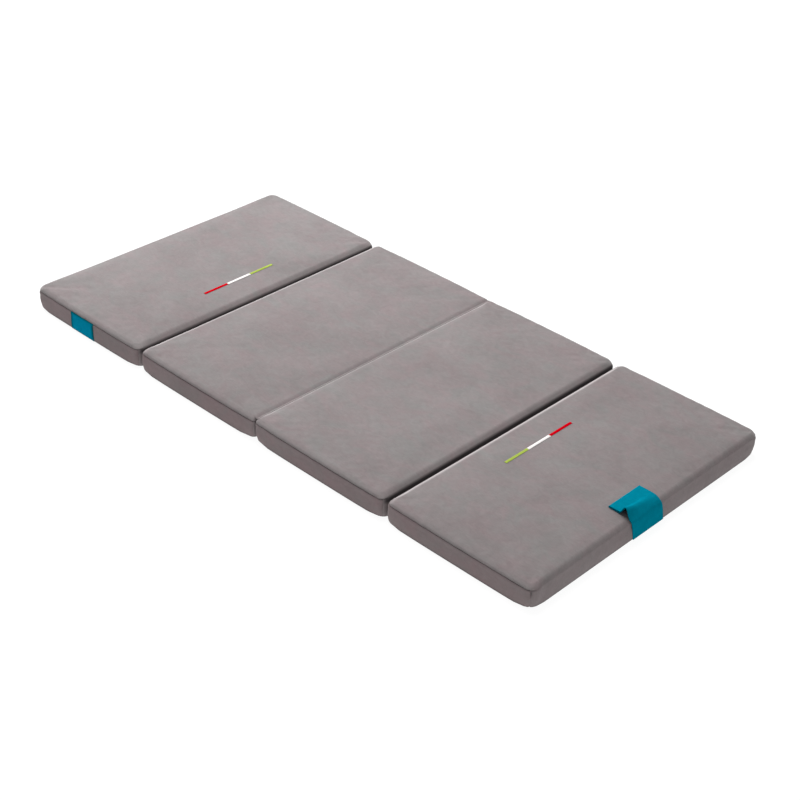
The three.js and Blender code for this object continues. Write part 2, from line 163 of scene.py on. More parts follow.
# The strap. Its flap line, from the bend to its end, is in shares of run, climb and hump
HALF_LENGTH = 2 * PANEL_LENGTH
STRAP_WIDTH = 0.079
STRAP_CENTRE = -0.0155
STRAP_LEAN = 0.0125
STRAP_CLOTH = 0.0012
STRAP_SEAT = 0.0003
STRAP_FOOT = 0.002
STRAP_END = 0.5565
STRAP_BEND = 0.009
STRAP_COLUMNS = 48
STRAP_ROWS = 132
STRAP_STEPS = {"rise": 24, "corner": 10, "flap": 10, "end": 14, "tuck": 12}
HOOK_PATCH_RUN = 0.0155
HOOK_BACKING = 0.0004
HOOK_PITCH = 0.0016
HOOK_SIZE = 0.0003
STRAP_THREADS = (79, 112, 1)
HUMP_HEIGHT = 0.0135
FLAP_HEIGHT = 0.0492
TUCK_HEIGHT = 0.0468
TUCK_LENGTH = 0.020
FLAP_LINE = (
    (0, 0, 0), (0.06, 0.35, 0.10), (0.13, 0.62, 0.42), (0.2, 0.84, 0.80), (0.27, 0.93, 0.98),
    (0.33, 0.97, 0.93), (0.39, 1, 0.60), (0.45, 1, 0.22), (0.51, 1, 0.04), (0.8, 1, 0), (1, 1, 0),
)

# Camera and light
CAMERA_TURN = math.radians(41.88)
CAMERA_RISE = math.radians(33.26)
CAMERA_ROLL = math.radians(3.08)
CAMERA_DISTANCE = 2.844
CAMERA_TARGET = (0.0795, -0.0280, 0.0)
CAMERA_FOCUS = 1632
SENSOR_WIDTH = 36
FRAME_PIXELS = 800
FARTHEST = 50
ROOM_LIGHT = 0.38
FLOOR_GLOW = 0.93
LAMPS = (
    ("overhead", (-0.8, 0.5, 2.8), 2.0, 88),
    ("low_back", (-2.7, 0.9, 0.6), 0.8, 60),
)
FLOOR_SIZE = 60
FLOOR_SHADE = 0.12

# Cloth colours
VELOUR_DARK = (0.175, 0.139, 0.142, 1)
VELOUR_LIGHT = (0.273, 0.230, 0.233, 1)
SIDE_DARK = (0.188, 0.136, 0.141, 1)
SIDE_LIGHT = (0.262, 0.201, 0.206, 1)
# Painted shade: near black, mixed into the cloth where shadow falls in seams, along the foot and in the
# fold gaps
PAINTED_SHADE_COLOUR = (0.040, 0.033, 0.034, 1)
# Painted highlight: pale colour mixed in where fold edges and the bands above the seams catch the light
PAINTED_RIM_LIGHT = (0.56, 0.52, 0.52, 1)
NAP_TINT = (0.91, 1.04, 1.01)
RIM_RANGE = (0.02, 0.11)
SCREEN_GAMMA = 2.2

# Patterns: a range is spread out to 0 to 1, and a noise is its waves per metre, detail, roughness
# and distortion, with the waves left out or at 1 where something else gives them
NOISE_RANGE = (0.3, 0.7)
MIXED_RANGE = (0.42, 0.58)
TINT_RANGE = (0.32, 0.68)
CELL_RANGE = (0.0, 0.8)
WEAR_RANGE = (0.35, 0.75)
BRUSH_DEGREES = (28, -42)
BRUSH_PITCHES = (110, 480, 300)
MIXED = (14.0, 2, 0.5)
TUFTS = (900.0, 2, 0.6)
CLOUDS = (3, 0.55, 0.5)
MOTTLES = (5, 0.65, 1.2)
STROKES = (1.0, 3, 0.6, 0.3)
TINTS = (1.0, 3, 0.6, 0.8)
COMBED = (1.0, 3, 0.6)
TINT_PITCHES = (19, 26, 26)
COMBED_PITCHES = (500, 1500, 1500)
CLOUD_WEIGHT, MOTTLE_WEIGHT, STROKE_WEIGHT, TUFT_WEIGHT = 0.34, 0.3, 0.24, 0.12
FADING = (60.0, 3, 0.6)
THREAD_WEIGHT = 0.6
FOAM_CELLS = 700.0
METAL_WEAR = (900.0, 3, 0.6)
METAL_GRAIN = (2400.0, 2, 0.5)
PILE_BUMP, THREAD_BUMP = (0.35, 0.0003), (0.5, 0.0002)
CELL_BUMP, GRAIN_BUMP = (0.6, 0.0005), (0.15, 0.0001)
RIBBON_THREADS = (10, 120, 1)
LABEL_THREADS = (160, 90, 1)
TAPE_THREADS = (22, 560, 1)
BASE_THREADS, SEWING_THREADS, ZIP_THREADS = ((count,) * 3 for count in (900, 2500, 1400))


# Work with meshes
def pick(piece):
    bpy.ops.object.select_all(action="DESELECT")
    piece.select_set(True)
    bpy.context.view_layer.objects.active = piece


def rows_of(elements, name):
    flat = np.empty(len(elements) * 3)
    elements.foreach_get(name, flat)
    return flat.reshape(-1, 3)


def points_of(piece):
    return rows_of(piece.data.vertices, "co")


def normals_of(piece):
    return rows_of(piece.data.vertex_normals, "vector")


def face_middles(piece):
    return rows_of(piece.data.polygons, "center")


def move_points(piece, places):
    piece.data.vertices.foreach_set("co", places.ravel())
    piece.data.update()


def apply_modifier(piece, kind, **settings):
    pick(piece)
    modifier = piece.modifiers.new(kind.lower(), kind)
    for name, value in settings.items():
        setattr(modifier, name, value)
    bpy.ops.object.modifier_apply(modifier=modifier.name)


def choose(piece, mode, mask=True):
    """Selects faces or points by a mask, or all of them, and leaves the piece in edit mode."""
    pick(piece)
    bpy.context.tool_settings.mesh_select_mode = (mode == "points", False, mode == "faces")
    mesh = piece.data
    lists = {"points": mesh.vertices, "edges": mesh.edges, "faces": mesh.polygons}
    for name, elements in lists.items():
        chosen = np.full(len(elements), name == mode)
        elements.foreach_set("select", chosen & mask if name == mode else chosen)
    bpy.ops.object.mode_set(mode="EDIT")


def done_editing():
    bpy.ops.object.mode_set(mode="OBJECT")


def cut_away(piece, mask):
    choose(piece, "faces", mask)
    bpy.ops.mesh.delete(type="FACE")
    done_editing()


def settle_primitive(name, sizes):
    """Names the primitive that was just added, at its size, with its place in its mesh."""
    piece = bpy.context.object
    piece.scale = sizes
    bpy.ops.object.transform_apply(location=True, rotation=True, scale=True)
    piece.name = piece.data.name = name
    return piece


def block(name, low, high):
    bpy.ops.object.select_all(action="DESELECT")
    low, high = Vector(low), Vector(high)
    bpy.ops.mesh.primitive_cube_add(size=1, location=(low + high) / 2)
    return settle_primitive(name, high - low)


def cloth_grid(name, across, along):
    """A flat unit grid from 0 to 1 both ways, to be laid by a function."""
    bpy.ops.object.select_all(action="DESELECT")
    bpy.ops.mesh.primitive_grid_add(
        x_subdivisions=across, y_subdivisions=along, size=1, location=(0.5, 0.5, 0),
    )
    return settle_primitive(name, (1, 1, 1))


def face_outwards(piece):
    choose(piece, "faces")
    bpy.ops.mesh.normals_make_consistent(inside=False)
    done_editing()


def smooth(piece):
    pick(piece)
    bpy.ops.object.shade_smooth()


def repeat(piece, count, step):
    apply_modifier(
        piece, "ARRAY", count=count, use_relative_offset=False, use_constant_offset=True,
        constant_offset_displace=step,
    )


def remesh(piece, voxel):
    pick(piece)
    piece.data.remesh_voxel_size = voxel
    bpy.ops.object.voxel_remesh()


def finish_piece(piece, body, slot, material, *nodes):
    piece.data.materials.clear()
    piece.data.materials.append(material)
    if body:
        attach(piece, body)
    if nodes:
        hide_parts(*nodes)


# Slow waves made of sines, the same each time
WAVE_COUNT = 7
WAVE_SPREAD = (0.7, 1.5)
PUCKER_SEED, BASE_SEED, SHADE_SEED, LABEL_SEED = 10, 40, 60, 70


def waves(places, length, seed):
    """Smooth values from about -1 to 1 over the places, with waves of about this length."""
    draw = np.random.default_rng(seed)
    total = np.zeros(len(places))
    for _ in range(WAVE_COUNT):
        heading = draw.normal(size=3)
        heading /= np.linalg.norm(heading)
        pitch = length * draw.uniform(*WAVE_SPREAD)
        total += np.sin(places @ heading * math.tau / pitch + draw.uniform(0, math.tau))
    return total / math.sqrt(WAVE_COUNT)


def tape_lift(places, number):
    """How far the tape under a panel's fold line lifts the cloth that lies on it."""
    fold = fold_line["fold_1_2" if number < 3 else "fold_3_4"]
    inside = TAPE_HALF + TAPE_RAMP - np.abs(places[:, 0] - fold)
    ends = TAPE_REACH + TAPE_RAMP - np.abs(places[:, 1])
    return TAPE_THICKNESS * np.clip(np.minimum(inside, ends) / TAPE_RAMP, 0, 1)


# Panel forms
def stand_back(face, heights):
    """How far a face stands back from its line at these heights."""
    stand = np.interp(heights, (0, EDGE_HEIGHT / 2, EDGE_HEIGHT), face["stand"])
    below = np.clip(FOOT_RADIUS - heights, 0, FOOT_RADIUS)
    stand += FOOT_RADIUS - np.sqrt(FOOT_RADIUS**2 - below**2)
    above = np.clip(1 - (EDGE_HEIGHT - heights) / face["drop"], 0, 1)
    rounding = 1 - np.sqrt(1 - above**2)
    return stand + face["run"] * (EDGE_SLOPE_SHARE * above + (1 - EDGE_SLOPE_SHARE) * rounding)


def panel_ends(number):
    return (number - 3) * PANEL_LENGTH, (number - 2) * PANEL_LENGTH


def panel_form(name, number):
    """A panel's closed form: a plan with round corners, raised in levels that stand back."""
    left, right = panel_ends(number)
    faces = PANEL_FACES[number]
    bpy.ops.object.select_all(action="DESELECT")
    bpy.ops.mesh.primitive_plane_add(size=1, location=((left + right) / 2, 0, 0))
    form = settle_primitive(name, (PANEL_LENGTH, 2 * HALF_WIDTH, 1))
    for face, line in zip(faces, (left, right)):
        choose(form, "points", np.abs(points_of(form)[:, 0] - line) < FOOT_RADIUS)
        bpy.ops.mesh.bevel(affect="VERTICES", offset=face["corner"], segments=CORNER_STEPS)
        done_editing()
    choose(form, "faces")
    last = 0.0
    for share in LEVEL_SHARES:
        rise = EDGE_HEIGHT * (share - last)
        bpy.ops.mesh.extrude_region_move(TRANSFORM_OT_translate={"value": (0, 0, rise)})
        last = share
    done_editing()
    places = points_of(form)
    heights = places[:, 2]
    low, high = (stand_back(face, heights) for face in faces)
    places[:, 0] = left + low + (places[:, 0] - left) * (PANEL_LENGTH - low - high) / PANEL_LENGTH
    places[:, 1] *= 1 - stand_back(LONG_SIDE, heights) / HALF_WIDTH
    move_points(form, places)
    face_outwards(form)
    return form


def plan_distances(places, number):
    """Distances in plan from the panel's two end lines and its long sides."""
    left, right = panel_ends(number)
    return places[:, 0] - left, right - places[:, 0], HALF_WIDTH - np.abs(places[:, 1])


def plateau(places, number, run):
    """0 at the rounded top edges and 1 once run inside them, on every side."""
    from_left, from_right, from_side = plan_distances(places, number)
    shares = []
    for face, distance in zip((*PANEL_FACES[number], LONG_SIDE), (from_left, from_right, from_side)):
        shares.append(np.clip((distance - face["stand"][2] - face["run"]) / run, 0, 1))
    return np.prod([np.sin(share * math.pi / 2) for share in shares], axis=0)


def tuck_corners(places, number):
    """Draws the lower corners in and up, as a cover does that is pulled tight underneath."""
    from_left, from_right, from_side = plan_distances(places, number)
    from_corner = np.hypot(np.minimum(from_left, from_right), from_side)
    corner = np.clip(1 - from_corner / TUCK_SPREAD, 0, 1)
    corner *= np.clip(1 - places[:, 2] / TUCK_RISE, 0, 1) ** 2
    places[:, 0] += TUCK * corner * np.sign(sum(panel_ends(number)) / 2 - places[:, 0])
    places[:, 1] -= TUCK * corner * np.sign(places[:, 1])
    places[:, 2] += TUCK_LIFT * corner


def crown_and_bow(pad, number):
    """The top swells to its crown, and the long sides draw in towards the corners."""
    places = points_of(pad)
    topness = np.clip((places[:, 2] / EDGE_HEIGHT - TOP_START) / (1 - TOP_START), 0, 1)
    places[:, 2] += CROWN_RISE * topness * plateau(places, number, CROWN_RUN)
    share = np.abs(2 * (places[:, 0] - sum(panel_ends(number)) / 2) / PANEL_LENGTH)
    places[:, 1] -= SIDE_BOW * share**BOW_POWER * places[:, 1] / HALF_WIDTH
    tuck_corners(places, number)
    move_points(pad, places)


def swell(pad, number):
    """The slab fills its cover: cloth under pressure, held at its foot, folds and seams.

    The simulation runs on a trial copy, and the pad keeps each point's move as an attribute.
    """
    trial = pad.copy()
    trial.data = pad.data.copy()
    bpy.context.scene.collection.objects.link(trial)
    crown_and_bow(trial, number)
    rest = points_of(trial)
    normals = normals_of(trial)
    from_left, from_right, from_side = plan_distances(rest, number)
    seam = (np.abs(rest[:, 2] - SEAM_HEIGHT) < VOXEL / 2) & (from_side < VOXEL)
    foot = rest[:, 2] < FOOT_RADIUS / 2
    folds = np.zeros(len(rest), bool)
    for face, distance in zip(PANEL_FACES[number], (from_left, from_right)):
        if face is not FREE_END:
            folds |= (distance < 2 * FOOT_RADIUS) & (rest[:, 2] < EDGE_HEIGHT - face["drop"])
    held = seam | foot | folds
    group = trial.vertex_groups.new(name="held")
    group.add([int(index) for index in np.flatnonzero(held)], 1.0, "REPLACE")
    cloth = trial.modifiers.new("cloth", "CLOTH")
    for name, value in CLOTH_FEEL.items():
        setattr(cloth.settings, name, value)
    cloth.settings.effector_weights.gravity = 0
    cloth.settings.vertex_group_mass = group.name
    cloth.point_cache.frame_start = 1
    cloth.point_cache.frame_end = PRESSURE_FRAMES
    for step in range(1, PRESSURE_FRAMES + 1):
        bpy.context.scene.frame_set(step)
    pick(trial)
    bpy.ops.object.modifier_apply(modifier=cloth.name)
    bpy.context.scene.frame_set(1)
    moves = points_of(trial) - rest
    reach = np.maximum(np.linalg.norm(moves, axis=1), 1e-9)
    moves *= (SWELL_CAP * np.tanh(reach / SWELL_SOFTNESS) / reach)[:, None]
    moves[:, 2] -= SWELL_CAP * plateau(rest, number, CROWN_RUN) * (normals[:, 2] > 0.5)
    moves[:, 2] = np.where(rest[:, 2] < FOOT_RADIUS, np.maximum(moves[:, 2], 0), moves[:, 2])
    bpy.data.objects.remove(trial)
    pad.data.attributes.new("swell", "FLOAT_VECTOR", "POINT")
    pad.data.attributes["swell"].data.foreach_set("vector", moves.ravel())


def settle(pad, form, number):
    """Lays a fine pad on the exact form, then gives it its crown, its bow and its swell."""
    places = [form.find_nearest(Vector(place))[0] for place in points_of(pad)]
    move_points(pad, np.array(places))
    crown_and_bow(pad, number)
    moves = pad.data.attributes.get("swell")
    if moves:
        swollen = points_of(pad) + rows_of(moves.data, "vector")
        pad.data.attributes.remove(moves)
        move_points(pad, swollen)


# Seams of the side strips
GROOVE_DEPTH = 0.0012
GROOVE_HALF = 0.0009
# Painted shade: the share of near black in the seam grooves, and how it swings slowly along them
SEAM_PAINTED_SHADE_SHARE = 0.5
SEAM_SHADE_SWING = 0.2
SEAM_SHADE_PITCH = 0.12
WELT_RISE = 0.00035
WELT_PLACE = 0.0036
WELT_HALF = 0.0016
PUCKER = 0.00030
PUCKER_PITCH = 0.017
PUCKER_RUN = 0.009
SEAM_FADE = 0.024
FOLD_PINCH_SHARE = 0.05
FREE_PINCH_SHARE = 1.2
PINCH_DROP = 0.004
PINCH_RUN = 0.006
PINCH_HALF = 0.0016
# Painted shadow in the gaps between panels: the fold faces darken just below their top edges
FOLD_SHADE_SHARE = 0.88
FOLD_SHADE_REACH = 0.0035
FOLD_SHADE_START = 0.005
FOLD_SHADE_RISE = 0.0028
FOLD_SHADE_DEPTH = 0.0095
# Painted contact shadow: a dark line along the foot of the cover, where it meets the floor
FOOT_SHADOW_SHARE = 0.95
FOOT_SHADOW_HEIGHT = 0.0036
# Painted highlight on the left-facing fold edges, by how far they tilt towards the light
RIM_LIGHT_SHARE = 0.9
RIM_LIGHT_TILT = 0.42
RIM_LIGHT_RANGE = 0.22
RIM_LIGHT_REACH = 0.014
RIM_LIGHT_FADE = 0.022
# Painted light on the sloped band between each side seam and the top edge
BAND_LIGHT = 0.2
BAND_LIGHT_TILT = 0.3
END_WARMTH = 0.6
END_TILTS = (0.25, 0.75)
STITCH_DEPTH = 0.0003
STITCH_HALF = 0.0008
CREASE_DEPTH = 0.0005
CREASE_HALF = 0.003
CREASE_PLACE = 0.024
CREASE_RUN = 0.011
TUCK = 0.0035
TUCK_LIFT = 0.0012
TUCK_SPREAD = 0.034
TUCK_RISE = 0.024
SEAM_DEPTH = 0.014
SEAM_REACH = 0.012
SEAM_ROWS = (-0.0036, -0.0018, -0.0008, 0.0, 0.0008, 0.0018, 0.0024, 0.0031, 0.0040)
MITRE_ROWS = (-0.0018, 0.0, 0.0018)
HEM_LIFT = 0.0002


def inside_strip(places, number):
    """Distance inside the side strip's seam line, below zero outside it."""
    from_left, from_right, from_side = plan_distances(places, number)
    return np.minimum.reduce([
        SEAM_HEIGHT - places[:, 2],
        (from_left - from_side) / math.sqrt(2), (from_right - from_side) / math.sqrt(2),
    ])


def score(pad, mask, point, normal):
    """A row of edges where a plane crosses the chosen faces."""
    choose(pad, "faces", mask)
    bpy.ops.mesh.bisect(plane_co=point, plane_no=normal)
    done_editing()


def score_seams(pad, number):
    for row in SEAM_ROWS:
        middles = face_middles(pad)
        sides = np.abs(middles[:, 1]) > HALF_WIDTH - SEAM_DEPTH
        sides &= inside_strip(middles, number) > -SEAM_REACH
        sides &= np.abs(middles[:, 2] - SEAM_HEIGHT - row) < VOXEL
        score(pad, sides, (0, 0, SEAM_HEIGHT + row), (0, 0, 1))
    for line, out in zip(panel_ends(number), (-1, 1)):
        for side in (-1, 1):
            for row in MITRE_ROWS:
                middles = face_middles(pad)
                near = (np.abs(middles[:, 0] - line) < 2 * SEAM_DEPTH)
                near &= (np.abs(middles[:, 1] - side * HALF_WIDTH) < 2 * SEAM_DEPTH)
                near &= middles[:, 2] < SEAM_HEIGHT + row
                point = (line + row * math.sqrt(2), side * HALF_WIDTH, 0)
                score(pad, near, point, (out, -side, 0))


def bell(distances, reach):
    """1 at no distance, falling smoothly to about a third at this reach."""
    return np.exp(-((distances / reach) ** 2))


def share_free(number, from_left, from_right):
    """Which points are nearer to a free end of the mattress than to a fold."""
    free_left, free_right = (face is FREE_END for face in PANEL_FACES[number])
    return np.where(from_left < from_right, free_left, free_right)


def sew_seams(pad, number):
    """Draws the cloth in along the seams, with a welt, a topstitched line and puckers."""
    places = points_of(pad)
    normals = normals_of(pad)
    from_left, from_right, from_side = plan_distances(places, number)
    from_end = np.minimum(from_left, from_right)
    above = places[:, 2] - SEAM_HEIGHT
    on_side = np.clip(1 - (from_side - from_end) / SEAM_FADE, 0, 1)
    mitre = np.abs(from_end - from_side) / math.sqrt(2)
    free = share_free(number, from_left, from_right)
    pinch = np.where(free, FREE_PINCH_SHARE, FOLD_PINCH_SHARE) * bell(above + PINCH_DROP, PINCH_RUN)
    level_groove = on_side * bell(above, GROOVE_HALF)
    mitre_groove = (above < 0) * pinch * bell(mitre, PINCH_HALF)
    grooves = np.maximum(level_groove, mitre_groove)
    shift = -GROOVE_DEPTH * grooves
    shift += on_side * WELT_RISE * bell(np.abs(above) - WELT_PLACE, WELT_HALF)
    shift -= on_side * STITCH_DEPTH * bell(above - STITCH_RISE, STITCH_HALF)
    puckers = waves(places, PUCKER_PITCH, PUCKER_SEED + number)
    shift += on_side * PUCKER * puckers * np.exp(-np.abs(above) / PUCKER_RUN)
    diagonal = (from_end + from_side) / math.sqrt(2)
    crease = bell(mitre, CREASE_HALF) * bell(diagonal - CREASE_PLACE, CREASE_RUN)
    shift -= (above > CREASE_HALF) * CREASE_DEPTH * crease
    sewn = places + normals * shift[:, None]
    sewn[:, 2] = np.maximum(sewn[:, 2], HEM_LIFT + tape_lift(sewn, number))
    move_points(pad, sewn)
    shade_cloth(pad, number, places, sewn, normals, grooves, on_side)


def shade_cloth(pad, number, places, sewn, normals, grooves, on_side):
    """Painted shade where shadow falls in seams, along the foot hem and in the fold gaps, painted
    highlight where edges catch the light, and warm pile at the upright ends.
    """
    from_left, from_right, from_side = plan_distances(places, number)
    above = places[:, 2] - SEAM_HEIGHT
    # Painted shade in the seam grooves, its strength swinging slowly along them
    patchiness = waves(sewn, SEAM_SHADE_PITCH, SHADE_SEED + number)
    shade = SEAM_PAINTED_SHADE_SHARE * (1 - SEAM_SHADE_SWING + SEAM_SHADE_SWING * patchiness) * grooves
    # Painted contact shadow along the foot hem
    shade = np.maximum(shade, FOOT_SHADOW_SHARE * bell(sewn[:, 2], FOOT_SHADOW_HEIGHT))
    rim_light = np.zeros(len(places))
    for face, distance, way in zip(PANEL_FACES[number], (from_left, from_right), (-1, 1)):
        if face is FREE_END:
            continue
        # Painted shadow down each fold face inside the gap between panels
        depth = EDGE_HEIGHT - face["drop"] - sewn[:, 2]
        inside = np.clip(1 + depth / FOLD_SHADE_RISE, 0, 1)
        inside *= np.clip(2 - 2 * depth / FOLD_SHADE_DEPTH, 0, 1)
        inside *= distance < face["stand"][2] + FOLD_SHADE_REACH
        inside *= np.clip((from_side - FOLD_SHADE_START) / FOLD_SHADE_START, 0, 1)
        shade = np.maximum(shade, FOLD_SHADE_SHARE * inside)
        # Painted highlight on the left-facing fold edges, where the pile catches the light
        edge = (way < 0) * (distance < RIM_LIGHT_REACH) * (above > 0)
        facing_light = bell(way * normals[:, 0] - RIM_LIGHT_TILT, RIM_LIGHT_RANGE)
        rim_light += edge * facing_light * np.clip(from_side / RIM_LIGHT_FADE, 0, 1) ** 2
    # Painted light on the sloped band above the side seams, so it reads as lit as the top
    band = on_side * np.clip(above / STITCH_RISE, 0, 1)
    band *= np.clip((1 - normals[:, 2]) / BAND_LIGHT_TILT, 0, 1)
    rim_light = np.maximum(rim_light, BAND_LIGHT * band)
    at_end = np.minimum(from_left, from_right) < from_side
    warm = END_WARMTH * at_end * np.interp(normals[:, 2], END_TILTS, (1, 0))
    for name, values in (("painted shade", shade), ("painted rim light", RIM_LIGHT_SHARE * rim_light), ("warm pile", warm)):
        kept = pad.data.attributes.new(name, "FLOAT", "POINT")
        kept.data.foreach_set("value", values)


def split_off(pad, mask, name):
    """Parts the chosen faces from the pad as a piece of their own."""
    choose(pad, "faces", mask)
    bpy.ops.mesh.separate(type="SELECTED")
    done_editing()
    piece = next(other for other in bpy.context.selected_objects if other != pad)
    piece.name = piece.data.name = name
    return piece


def thicken(piece, thickness, offset=-1):
    apply_modifier(piece, "SOLIDIFY", thickness=thickness, offset=offset, use_even_offset=False)
    smooth(piece)


def zip_slot(gusset, number):
    """Opens the far side strip where its zip shows."""
    middle = sum(panel_ends(number)) / 2
    levels = [((0, 0, ZIP_HEIGHT + way * ZIP_SLOT), (0, 0, 1)) for way in (-1, 1)]
    ends = [((middle + way * ZIP_HALF, 0, 0), (1, 0, 0)) for way in (-1, 1)]
    for point, normal in levels + ends:
        score(gusset, True, point, normal)
    middles = face_middles(gusset)
    slot = (np.abs(middles[:, 2] - ZIP_HEIGHT) < ZIP_SLOT) & (np.abs(middles[:, 0] - middle) < ZIP_HALF)
    cut_away(gusset, slot)


def make_cover(number):
    """The cover of one panel and its two side strips, parted along their seams."""
    pad = panel_form(f"velour_cover_{number}", number)
    form = surface_of([pad])
    remesh(pad, VOXEL)
    swell(pad, number)
    apply_modifier(pad, "SUBSURF", levels=1, render_levels=1)
    settle(pad, form, number)
    score_seams(pad, number)
    sew_seams(pad, number)
    middles = face_middles(pad)
    inside = np.minimum.reduce(plan_distances(middles, number))
    under = (middles[:, 2] < 2 * FOOT_RADIUS) & (inside > HEM_WIDTH + FOOT_RADIUS)
    cut_away(pad, under)
    pieces = [pad]
    for side, sign in (("near", -1), ("far", 1)):
        middles = face_middles(pad)
        strip = (inside_strip(middles, number) > 0) & (sign * middles[:, 1] > HALF_WIDTH - SEAM_DEPTH)
        pieces.append(split_off(pad, strip, f"{side}_gusset_{number}"))
    zip_slot(pieces[2], number)
    surface = surface_of(pieces)
    for piece in pieces:
        thicken(piece, CLOTH)
    return pieces, surface


def surface_of(pieces):
    """The outer skin of these pieces, for laying other pieces on it."""
    corners, faces = [], []
    for piece in pieces:
        start = len(corners)
        corners += [tuple(point) for point in points_of(piece)]
        faces += [[start + index for index in polygon.vertices] for polygon in piece.data.polygons]
    return BVHTree.FromPolygons(corners, faces)


def land(surface, places, heading):
    """Where rays from these places along the heading meet the surface, with its normals."""
    heading = Vector(heading)
    landed, outs = [], []
    for place in places:
        point, out, _, _ = surface.ray_cast(Vector(place), heading)
        landed.append(point)
        outs.append(out if out.dot(heading) < 0 else -out)
    return np.array(landed), np.array(outs)


def soften(rows, times):
    """Evens out a run of points or normals."""
    for _ in range(times):
        rows = np.vstack([rows[:1], (rows[:-2] + 2 * rows[1:-1] + rows[2:]) / 4, rows[-1:]])
    return rows


def reach_along(path):
    """How far along its path each point is."""
    steps = np.linalg.norm(np.diff(path, axis=0), axis=1)
    return np.concatenate([[0], np.cumsum(steps)])


def lay_along(piece, path, outs):
    """Bends a piece drawn along X onto a path: X runs along it, Y across, Z away from it."""
    reach = reach_along(path)
    headings = np.gradient(path, axis=0)
    places = points_of(piece)
    along = np.clip(places[:, 0], 0, reach[-1])

    def at(rows):
        return np.stack([np.interp(along, reach, rows[:, axis]) for axis in range(3)], axis=1)

    centre, out, heading = at(path), at(outs), at(headings)
    heading /= np.linalg.norm(heading, axis=1)[:, None]
    across = np.cross(out, heading)
    across /= np.linalg.norm(across, axis=1)[:, None]
    out = np.cross(heading, across)
    beyond = (places[:, 0] - along)[:, None]
    move_points(piece, centre + heading * beyond + across * places[:, 1:2] + out * places[:, 2:3])
    face_outwards(piece)
    smooth(piece)


def stitch_row(name, path, outs):
    """Tone-on-tone stitches along a path on the cloth: one stitch, repeated."""
    half = STITCH_WIDTH / 2
    stitch = block(name, (0, -half, -half), (STITCH_LENGTH, half, half))
    apply_modifier(stitch, "BEVEL", width=half * STITCH_BEVEL_SHARE, segments=1)
    repeat(stitch, int(reach_along(path)[-1] / STITCH_PITCH), (STITCH_PITCH, 0, 0))
    lay_along(stitch, path, outs)
    return stitch


def make_base_panel(number):
    """The thin woven cloth inside the hem, which lies over the tapes."""
    left, right = panel_ends(number)
    base = cloth_grid(f"base_panel_{number}", *BASE_GRID)
    places = points_of(base)
    inset = HEM_WIDTH + FOOT_RADIUS + BASE_GAP
    places[:, 0] = left + inset + places[:, 0] * (right - left - 2 * inset)
    places[:, 1] = (2 * places[:, 1] - 1) * (HALF_WIDTH - inset)
    ripple = BASE_RIPPLE * (1 + waves(places, BASE_RIPPLE_PITCH, BASE_SEED + number))
    places[:, 2] = BASE_LIFT + tape_lift(places, number) + ripple
    tuck_corners(places, number)
    move_points(base, places)
    thicken(base, BASE_CLOTH, 1)
    return base


def make_foam_core(number):
    """The slab inside a cover, cut back along the zip."""
    core = panel_form(f"foam_core_{number}", number)
    left, _ = panel_ends(number)
    places = points_of(core)
    places[:, 0] = left + FOAM_INSET + (places[:, 0] - left) * (1 - 2 * FOAM_INSET / PANEL_LENGTH)
    near = np.clip(-places[:, 1] / HALF_WIDTH, 0, 1)
    far = np.clip(places[:, 1] / HALF_WIDTH, 0, 1)
    places[:, 1] += near * FOAM_INSET - far * ZIP_POCKET
    places[:, 2] = FOAM_INSET + places[:, 2] * (1 - 2 * FOAM_INSET / EDGE_HEIGHT)
    move_points(core, places)
    remesh(core, 2 * VOXEL)
    places = points_of(core)
    tuck_corners(places, number)
    move_points(core, places)
    apply_modifier(core, "SUBSURF", levels=1, render_levels=1)
    smooth(core)
    return core


def make_hinge_tape(name, fold):
    """A tape under two panels, sewn to both hems, with its rows crowded towards its fold line."""
    tape = cloth_grid(name, *TAPE_GRID)
    places = points_of(tape)
    spread = 2 * places[:, 0] - 1
    places[:, 0] = fold + TAPE_HALF * np.sign(spread) * np.abs(spread) ** TAPE_CROWDING
    places[:, 1] = (2 * places[:, 1] - 1) * TAPE_REACH
    places[:, 2] = TAPE_LIFT
    move_points(tape, places)
    thicken(tape, TAPE_CLOTH, 1)
    return tape


def make_top_hinge(surface):
    """The cloth between panels 2 and 3, which lies on their edges and dips between them."""
    band = cloth_grid("fold_band_23", *BAND_GRID)
    places = points_of(band)
    spread = 2 * places[:, 0] - 1
    places[:, 0] = BAND_HALF * spread
    places[:, 1] = (2 * places[:, 1] - 1) * BAND_REACH
    beside = np.where(spread < 0, -1, 1) * np.maximum(np.abs(places[:, 0]), BAND_CREASE)
    landed, _ = land(surface, [(x, y, OVERHEAD) for x, y in zip(beside, places[:, 1])], (0, 0, -1))
    crease = BAND_HEIGHT + BAND_DIP * (np.abs(spread) - 1)
    places[:, 2] = np.maximum(landed[:, 2], crease) - BAND_SEAT * np.abs(spread)
    move_points(band, places)
    apply_modifier(band, "SMOOTH", factor=0.5, iterations=2)
    thicken(band, BAND_CLOTH, 0)
    return band


def make_ribbon(name, surface, x, low, high):
    """A narrow satin ribbon laid on the cover from one Y to the other."""
    rows = np.linspace(low, high, RIBBON_PATH)
    path, outs = land(surface, [(x, y, OVERHEAD) for y in rows], (0, 0, -1))
    path, outs = soften(path, RIBBON_EVENING), soften(outs, RIBBON_EVENING)
    ribbon = cloth_grid(name, *RIBBON_GRID)
    places = points_of(ribbon)
    across = places[:, 0] - 0.5
    places[:, 0] = places[:, 1] * (high - low)
    places[:, 1] = across * RIBBON_WIDTH
    places[:, 2] = RIBBON_LIFT
    move_points(ribbon, places)
    thicken(ribbon, RIBBON_CLOTH, 0)
    lay_along(ribbon, path, outs)
    return ribbon


